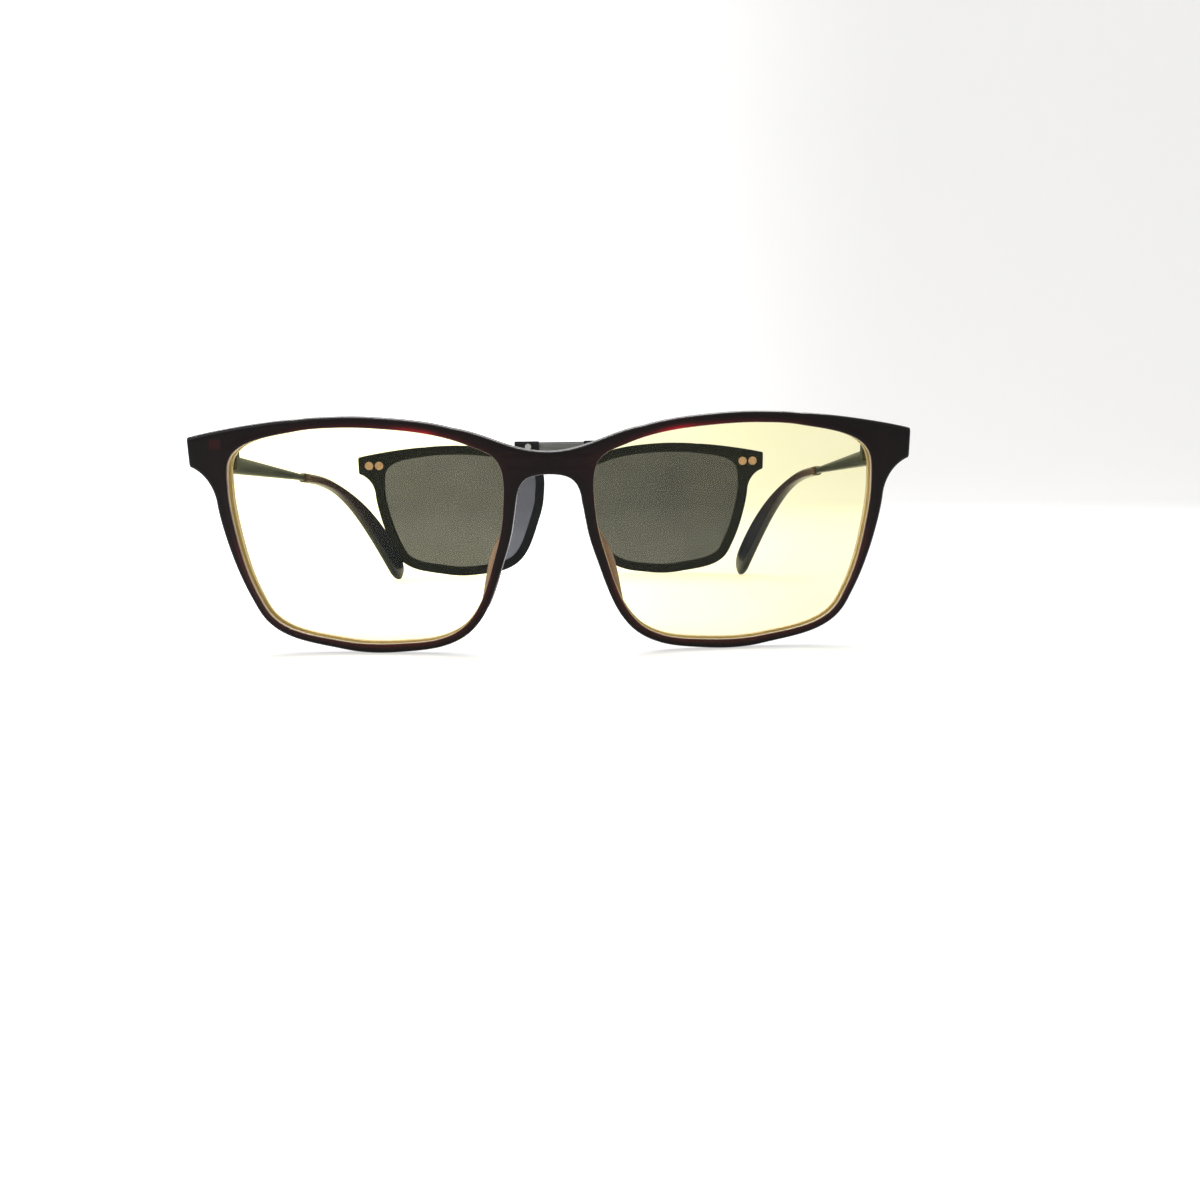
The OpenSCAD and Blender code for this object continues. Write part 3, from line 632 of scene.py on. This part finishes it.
def nose_pad():
    """A thin moulded fin behind the nose side of the rim, leaning away from the nose."""
    rings = []
    ends = [(0, -k, math.sqrt(max(0, 1 - k * k))) for k in (0.97, 0.8, 0.45)]
    ends += [(t / 22, 0, 1) for t in range(23)]
    ends += [(1, k, math.sqrt(max(0, 1 - k * k))) for k in (0.45, 0.8, 0.97)]
    for t, push, size in ends:
        swell = math.sin(math.pi * (0.08 + 0.84 * t))
        root = pad_point(t, 1.3, rim_d - 0.65)
        tip = pad_point(t, rim_nose / 2 - pad_flare * swell, rim_d + (pad_d - pad_edge) * swell)
        run = (pad_point(min(1, t + 0.02), 1, 3) - pad_point(max(0, t - 0.02), 1, 3)).normalized()
        up = (tip - root).normalized()
        side = run.cross(up).normalized()
        ring = []
        for k in range(20):
            a = 2 * math.pi * k / 20
            base, r = (tip, pad_edge) if math.sin(a) > 0 else (root, 0.58)
            centre = (tip + root) / 2
            spot = base + (side * math.cos(a) + up * math.sin(a)) * r * mm
            ring.append(centre + (spot - centre) * size + run * push * 0.7 * mm)
        rings.append(ring)
    return swept(rings)


# How strongly the painted red glow of light coming through the plastic shows, by direction seen from the lens
# middle
glow_round = [(-40, 0.46), (-12, 0.58), (15, 0.16), (40, 0.16), (62, 0.44), (90, 0.54), (104, 0.64),
              (113, 0.88), (123, 0.92), (131, 0.62), (146, 0.36), (165, 0.24), (185, 0.24), (205, 0.56),
              (228, 0.5), (250, 0.56), (285, 0.54), (320, 0.46)]
# The same by ring of the section, and how tan each ring of the hole wall is
glow_across = [1, 1, 1, 0.9, 0.5, 0.5, 0.5, 0.5, 0.9, 1, 1, 1, 0.9, 0.6, 0.3, 0.25, 0.25, 0.25, 0.3, 0.4, 0.5,
               0.5, 0.45, 0.35, 0.28, 0.24, 0.24, 0.32, 0.66, 0.95]
tan_across = [0, 0, 0.15, 0.55, 1, 1, 1, 1, 0.9, 0.6, 0.3, 0] + [0] * 18


def by_angle(table, a):
    for (a0, v0), (a1, v1) in zip(table, table[1:]):
        if a <= a1:
            return v0 + (v1 - v0) * ease((a - a0) / (a1 - a0))
    return table[-1][1]


def paint_half(obj):
    """Two named amounts at each vertex, which the finish reads: the painted red glow of light coming through
    the plastic, and the tan of the hole wall.
    """
    glow = obj.data.attributes.new("glow", "FLOAT", "POINT")
    tan = obj.data.attributes.new("tan", "FLOAT", "POINT")
    n = len(places)
    for k in range(len(obj.data.vertices)):
        ring, i = divmod(k, n)
        p = hole_edge[i] - middle
        a = math.degrees(math.atan2(p.y, p.x))
        a = a + 360 if a < -40 else a
        glow.data[k].value = glow_across[ring] * by_angle(glow_round, a)
        tan.data[k].value = tan_across[ring]


def paint_even(obj, **amounts):
    for name, value in amounts.items():
        layer = obj.data.attributes.new(name, "FLOAT", "POINT")
        for item in layer.data:
            item.value = value


def make_front():
    half = swept(front_rings(), closed=True)
    paint_half(half)
    pick(half)
    for v in half.data.vertices:
        v.select = False
    for e in half.data.edges:
        e.select = False
    for f in half.data.polygons:
        f.select = all(abs(half.data.vertices[v].co.x) < 1e-8 for v in f.vertices)
    bpy.ops.object.mode_set(mode="EDIT")
    bpy.ops.mesh.select_mode(type="FACE")
    bpy.ops.mesh.delete(type="FACE")
    bpy.ops.mesh.select_mode(type="VERT")
    bpy.ops.object.mode_set(mode="OBJECT")
    bpy.ops.object.modifier_add(type="MIRROR")
    bpy.context.object.modifiers[-1].merge_threshold = 1e-6
    bpy.ops.object.modifier_apply(modifier=bpy.context.object.modifiers[-1].name)
    pad = nose_pad()
    # The nose pads get an even painted glow of light coming through them, and a little tan.
    paint_even(pad, glow=0.7, tan=0.16)
    face_out(half)
    face_out(pad)
    other = mirrored_copy(pad)
    front = join_pieces(half, pad, other)
    move_piece(front, stand)
    return front


# Lenses
def lens_rings(line, centre, at):
    """Both faces of a lens, ring by ring, from the middle of one out to the edge and back in on the other."""
    shares = (0.03, 0.2, 0.4, 0.6, 0.78, 0.9, 0.97)
    rings = []
    for back, order in ((False, shares), (True, tuple(reversed(shares)))):
        inner = [[at(centre + (p - centre) * k, back) for p in line] for k in order]
        edge = [at(p, back) for p in line]
        rings += [edge] + inner if back else inner + [edge]
    return rings


def make_lens():
    line = shifted(hole_edge, -groove_d + seat)
    lens = swept(lens_rings(line, middle, lambda p, back: placed(p, lens_face(p, back))))
    face_out(lens)
    twin = mirrored_copy(lens)
    for obj in (lens, twin):
        move_piece(obj, stand)
    return lens, twin


# Temples: d is the distance behind the hinge axis
arm_x = hinge_x + barrel_dia / 2 + 0.35


def line_at(d):
    """The temple's line: straight with a slight toe-in, then bent down over the ear and inwards."""
    turn = max(0, d - bend_at) / (temple_reach - bend_at)
    toe = toe_in * max(0, min(d, bend_at) - leaf_len - 1) / (bend_at - leaf_len - 1)
    x = arm_x + arm_t / 2 - toe - (turn_in - toe_in) * turn ** turn_ease
    return Vector((x, hinge_y + d, hinge_z - fall * d - ear * turn ** ear_ease))


def ring_at(d, w, h, n, power=3.2):
    """A section of the temple, w wide and h high: an ellipse filled out towards its box."""
    run = (line_at(d + 0.5) - line_at(d - 0.5)).normalized()
    up = (Vector((0, 0, 1)) - run * run.z).normalized()
    side = run.cross(up)
    ring = []
    for k in range(n):
        a = 2 * math.pi * (k + 0.5) / n
        x, y = math.cos(a), math.sin(a)
        grow = 1 / (abs(x) ** power + abs(y) ** power) ** (1 / power)
        ring.append((line_at(d) + side * (w / 2 * x * grow) + up * (h / 2 * y * grow)) * mm)
    return ring


def arm_height(d):
    """The arm keeps its height near the hinge and then tapers in a straight line towards the tip."""
    return arm_h + (arm_end_h - arm_h) * min(1.0, max(0.0, d - arm_even) / (tip_from - 4 - arm_even))


def make_temple():
    def section(d, less=0):
        return ring_at(d, arm_t - less, arm_height(d) - less, 28)

    places_along = [arm_start + 0.15] + span(0, tip_from - 0.15, 44) + [tip_from - 0.15]
    rings = [section(arm_start, 0.3), section(arm_start + 0.06, 0.08)]
    rings += [section(d) for d in places_along]
    rings += [section(tip_from - 0.06, 0.08), section(tip_from, 0.3)]
    arm = swept(rings)
    core_end = temple_reach - core_short
    core_places = [tip_from - 0.3] + span(tip_from + 2, core_end, 40) + [core_end]
    core = swept([ring_at(d, arm_t - 0.3, arm_end_h - 0.5, 16) for d in core_places])
    face_out(arm)
    face_out(core)
    return join_pieces(arm, core)


def tip_height(d):
    t = (d - tip_from) / (temple_reach - tip_from)
    return arm_end_h + 0.7 + (paddle_w - arm_end_h - 0.7) * ease((t - 0.3) / 0.6)


def make_tip():
    round_from = temple_reach - 6
    first = tip_from + 0.05
    rings = [ring_at(first, tip_t - 0.7, tip_height(first) - 0.7, 36),
             ring_at(first + 0.1, tip_t - 0.25, tip_height(first) - 0.25, 36)]
    for d in [first + 0.3] + span(tip_from + 1.5, round_from, 56):
        rings.append(ring_at(d, tip_t, tip_height(d), 36))
    for k in range(15):
        a = math.radians(88 * k / 14)
        rings.append(ring_at(round_from + 5 * math.sin(a), tip_t * (0.35 + 0.65 * math.cos(a)),
                             tip_height(round_from) * (0.25 + 0.75 * math.cos(a)), 36))
    tip = swept(rings)
    face_out(tip)
    return tip


# Clip
share = (side_x - clip_inset) / side_x
clip_edge = [p * share for p in end_edge] + [rim_edge(s) * share for s in places[len(end_edge):]]
clip_hole = [(middle + opening(s) + outward(s) * (rim_width(s) - clip_rim)) * share for s in places]
clip_mid = sum(clip_hole, Vector((0, 0))) / len(clip_hole)
clip_lens_w = (clip_d - clip_lens_t) / 2
bar_top = max(p.y for p in clip_edge) + bar_rise


def on_clip(p, w):
    """A place on the clip's shell: w is the distance behind its hollow side."""
    z0 = clip_low + lens_h / 2
    y = math.sqrt((front_curve + w) ** 2 - p[0] ** 2 - (p[1] - z0) ** 2) - front_curve
    return Vector((p[0] - clip_shift, y + clip_y, p[1] - clip_low)) * mm


def curved_block(x0, x1, z0, z1, w0, w1, r, steps):
    """A bar swept sideways along the shell, with rounded edges and ends."""
    corners = ((z1 - r, w1 - r, 0), (z1 - r, w0 + r, 90), (z0 + r, w0 + r, 180), (z0 + r, w1 - r, 270))

    def section(x, less):
        ring = []
        for cz, cw, start in corners:
            for k in range(4):
                a = math.radians(start + 30 * k)
                ring.append(on_clip((x, cz + (r - less) * math.cos(a)), cw + (r - less) * math.sin(a)))
        return ring

    sections = [section(x0, r * 0.75), section(x0 + r * 0.3, r * 0.3)]
    sections += [section(x, 0) for x in [x0 + r] + span(x0 + r, x1 - r, steps)[1:] + [x1 - r]]
    sections += [section(x1 - r * 0.3, r * 0.3), section(x1, r * 0.75)]
    block = swept(sections)
    face_out(block)
    return block


def make_clip_rim():
    """One hoop: the hole wall with its groove, the back, the outer wall and the hollow side, then its lug."""
    r = clip_edge_r

    def rounded(line, sign, steps, back):
        rings = []
        for a in steps:
            w = r * (1 - math.cos(a))
            moved = shifted(line, sign * r * (1 - math.sin(a)))
            rings.append([on_clip(p, clip_d - w if back else w) for p in moved])
        return rings

    groove = shifted(clip_hole, -clip_groove)
    low, high = clip_lens_w - seat, clip_lens_w + clip_lens_t + seat
    rings = rounded(clip_hole, -1, arc(3), False)
    rings += [[on_clip(p, w) for p in line] for line, w in ((clip_hole, low), (groove, low),
                                                           (groove, high), (clip_hole, high))]
    rings += rounded(clip_hole, -1, arc(3)[::-1], True)
    rings += rounded(clip_edge, 1, arc(3), True)
    rings += rounded(clip_edge, 1, arc(3)[::-1], False)
    rim = swept(rings, closed=True)
    face_out(rim)
    x = bar_len / 2
    lug = curved_block(x - lug_w, x + lug_out, bar_top - lug_h, bar_top, 0, clip_d, r, 8)
    return join_pieces(rim, lug)


def make_clip_lens():
    def at(p, back):
        return on_clip(p, clip_lens_w + (clip_lens_t if back else 0))

    lens = swept(lens_rings(shifted(clip_hole, -clip_groove + seat), clip_mid, at))
    face_out(lens)
    return lens


def make_bar():
    x = bar_len / 2 - bar_inset
    return curved_block(-x, x, bar_top - bar_h + 0.3, bar_top - 0.3, clip_d + 0.02, clip_d + bar_t + 0.02,
                        clip_edge_r, 30)


def dress_node(name, finish):
    """A node whose shape is right keeps it, with softened edges and its own finish."""
    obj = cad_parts[name]
    obj.data.materials.clear()
    obj.data.materials.append(finish)
    weld = obj.modifiers.new("weld", "WELD")
    weld.merge_threshold = 1e-6
    soft = obj.modifiers.new("soft edges", "BEVEL")
    soft.width = 0.08 * mm
    soft.segments = 2
    soft.limit_method = "ANGLE"
    soft.angle_limit = math.radians(body_smooth)


# Stage and light
def table_finish():
    """White that lights itself a little where it is looked at, with painted light that makes it brighter to
    the left, as in a lit room, and towards the back.
    """
    finish = bpy.data.materials.new("white table and backdrop")
    finish.use_nodes = True
    tree = finish.node_tree
    tree.nodes.clear()
    out = add(tree, "ShaderNodeOutputMaterial", (600, 0))
    both = add(tree, "ShaderNodeMixShader", (400, 0))
    matt = add(tree, "ShaderNodeBsdfDiffuse", (100, 100), Color=(0.86, 0.86, 0.855, 1))
    shine = add(tree, "ShaderNodeEmission", (100, -100), Color=(1, 0.993, 0.983, 1))
    parts = object_axes(tree, (-1300, -300))

    # How far a place lies to the side for its depth, and the painted light that falls in from the left
    depth = calculate(tree, (-1100, -400), "ADD", (parts, "Y"), 0.25)
    side = calculate(tree, (-900, -300), "DIVIDE", (parts, "X"), (depth, "Value"))
    near = remap(tree, (-900, -100), 0.08, 0.4, 0.13, 0, "SMOOTHSTEP")
    wire(tree, parts, "Y", near, "Value")
    spill = calculate(tree, (-800, -200), "SUBTRACT", (side, "Value"), (near, "Result"))
    left = remap(tree, (-700, -200), -0.16, 0.36, 1.14, 0)
    wire(tree, spill, "Value", left, "Value")
    swell = calculate(tree, (-620, -200), "MULTIPLY", (left, "Result"), (left, "Result"))
    # Painted light that brightens the table and backdrop towards the back.
    right = remap(tree, (-700, -400), 0.2, 0.9, 0.86, 1.19)
    wire(tree, parts, "Y", right, "Value")
    across = calculate(tree, (-550, -300), "ADD", (swell, "Value"), (right, "Result"))

    # In front of the spectacles the table is evenly white
    behind = remap(tree, (-700, -600), -0.067, -0.03, 0, 1, "SMOOTHSTEP")
    wire(tree, parts, "Y", behind, "Value")
    tone = add(tree, "ShaderNodeMix", (-400, -400), data_type="FLOAT")
    tone.inputs["A"].default_value = 1.03
    wire(tree, behind, "Result", tone, "Factor")
    wire(tree, across, "Value", tone, "B")

    # These tones are for looking straight at it. A gloss or a pane shows it evenly lit.
    path = add(tree, "ShaderNodeLightPath", (-400, 300))
    direct = add(tree, "ShaderNodeMix", (-200, -400), data_type="FLOAT")
    direct.inputs["A"].default_value = 1.0
    wire(tree, path, "Is Camera Ray", direct, "Factor")
    wire(tree, tone, "Result", direct, "B")
    wire(tree, direct, "Result", shine, "Strength")
    seen = seen_directly(tree, path, -200, 200)
    part = calculate(tree, (200, 300), "MULTIPLY", (seen, "Value"), 0.6)
    wire(tree, part, "Value", both, "Fac")
    wire(tree, matt, "BSDF", both, 1)
    wire(tree, shine, "Emission", both, 2)
    wire(tree, both, "Shader", out, "Surface")
    return finish


def make_stage():
    """A table that sweeps up into the backdrop."""
    pick()
    bpy.ops.mesh.primitive_plane_add(size=1, location=(0, 0, -0.0001))
    floor = bpy.context.object
    floor.name = "table"
    for v, corner_at in zip(floor.data.vertices, ((-3, -2, 0), (3, -2, 0), (-3, 1.6, 0), (3, 1.6, 0))):
        v.co = corner_at
    bpy.ops.object.mode_set(mode="EDIT")
    bpy.ops.mesh.select_all(action="DESELECT")
    bpy.ops.object.mode_set(mode="OBJECT")
    for e in floor.data.edges:
        e.select = all(floor.data.vertices[v].co.y > 1 for v in e.vertices)
    bpy.ops.object.mode_set(mode="EDIT")
    bpy.ops.mesh.select_mode(type="EDGE")
    bpy.ops.mesh.extrude_edges_move(TRANSFORM_OT_translate={"value": (0, 0, 2.2)})
    bpy.ops.object.mode_set(mode="OBJECT")
    bpy.ops.object.modifier_add(type="BEVEL")
    soft = floor.modifiers[-1]
    soft.width, soft.segments, soft.limit_method = 0.8, 24, "ANGLE"
    bpy.ops.object.modifier_apply(modifier=soft.name)
    bpy.ops.object.shade_smooth()
    floor.data.materials.append(table_finish())


def add_lamp(name, place, aim, size, power):
    pick()
    bpy.ops.object.light_add(type="AREA", location=place)
    lamp = bpy.context.object
    lamp.name = name
    lamp.data.shape = "RECTANGLE"
    lamp.data.size, lamp.data.size_y = size
    lamp.data.energy = power
    lamp.rotation_euler = (Vector(aim) - Vector(place)).to_track_quat("-Z", "Y").to_euler()


def light_room():
    """A white room, with a large soft lamp above, a strip that lines the top edge, and a lamp to the left."""
    world = bpy.data.worlds.new("room")
    bpy.context.scene.world = world
    world.use_nodes = True
    tree = world.node_tree
    room = tree.nodes["Background"]
    room.inputs["Color"].default_value = (1, 1, 1, 1)
    path = add(tree, "ShaderNodeLightPath", (-900, 0))
    seen = seen_directly(tree, path, -700, 0)
    level = remap(tree, (-300, 0), 0, 1, 0.38, 0.9)
    wire(tree, seen, "Value", level, "Value")
    wire(tree, level, "Result", room, "Strength")
    add_lamp("softbox above", (-0.1, 0.15, 0.9), (0, 0, 0), (1.2, 0.8), 8)
    add_lamp("strip above and behind", (-0.12, 0.32, 0.5), (0, -0.07, 0.03), (0.9, 0.06), 5)
    add_lamp("softbox left", (-0.9, -0.5, 0.6), (0, 0, 0.02), (0.7, 0.7), 2.5)
    bpy.context.scene.view_settings.view_transform = "Standard"


plastic = front_plastic()
clear = tinted_pane("pale yellow lens", (0.99, 0.968, 0.765), (0.995, 0.976, 0.795),
                    sheen=(0.62, 0.72, 1.0), dull_low=0.012, dull_high=0.035, smear_scale=90,
                    head_on=0.005, aslant=0.45)
grey_lens = tinted_pane("dark grey sun lens", (0.272, 0.275, 0.293), (0.296, 0.299, 0.317),
                        sheen=(0.9, 0.9, 0.9), dull_low=0.05, dull_high=0.12, smear_scale=70,
                        head_on=0.012, aslant=0.5)
gunmetal = metal("gunmetal temple", (0.085, 0.095, 0.075), (0.135, 0.145, 0.120), (1, 0.08, 1), (0.28, 0.42))
steel = metal("turned steel", (0.36, 0.37, 0.37), (0.52, 0.53, 0.53), (1, 1, 0.2), (0.22, 0.38))
copper = metal("coppery magnet plating", (0.46, 0.29, 0.21), (0.64, 0.43, 0.33), (1, 1, 1), (0.22, 0.4))
bar_metal = metal("brushed bar metal", (0.10, 0.105, 0.105), (0.17, 0.175, 0.175), (0.08, 1, 1), (0.3, 0.45))
navy_tip = tip_plastic()
satin = clip_plastic()

finish_piece(make_front(), "polished_front", "spectacle_front", plastic, "front_frame")
sides = ("right", "left")
for side, lens in zip(sides, make_lens()):
    finish_piece(lens, side + "_clear_lens", "spectacle_front", clear,
                 side + "_lens", lens_smooth)

arm = make_temple()
arms = (arm, mirrored_copy(arm))
tip = make_tip()
tips = (tip, mirrored_copy(tip))
for obj in arms + tips:
    move_piece(obj, stand)
for side, obj in zip(sides, arms):
    finish_piece(obj, side + "_metal_arm", side + "_temple_arm", gunmetal,
                 side + "_temple")
for side, obj in zip(sides, tips):
    finish_piece(obj, side + "_ear_tip", side + "_temple_arm", navy_tip,
                 side + "_temple_tip")

rim = make_clip_rim()
rims = (rim, mirrored_copy(rim, -clip_shift * mm))
dark = make_clip_lens()
darks = (dark, mirrored_copy(dark, -clip_shift * mm))
bar = make_bar()
for obj in rims + darks + (bar,):
    move_piece(obj, stand)
for side, obj in zip(sides, rims):
    finish_piece(obj, "clip_" + side + "_hoop", "sun_clip", satin,
                 "clip_" + side + "_rim")
for side, obj in zip(sides, darks):
    finish_piece(obj, "clip_" + side + "_dark_lens", "sun_clip", grey_lens,
                 "clip_" + side + "_lens", lens_smooth)
finish_piece(bar, "clip_metal_bar", "sun_clip", bar_metal, "clip_bridge_bar")

for side in ("left", "right"):
    dress_node(side + "_frame_magnet", copper)
    dress_node(side + "_front_hinge", gunmetal)
    dress_node(side + "_hinge_screw", steel)
    dress_node(side + "_temple_hinge", gunmetal)
    dress_node("clip_" + side + "_magnets", copper)
    dress_node("clip_" + side + "_screw", steel)

make_stage()
light_room()
set_camera()
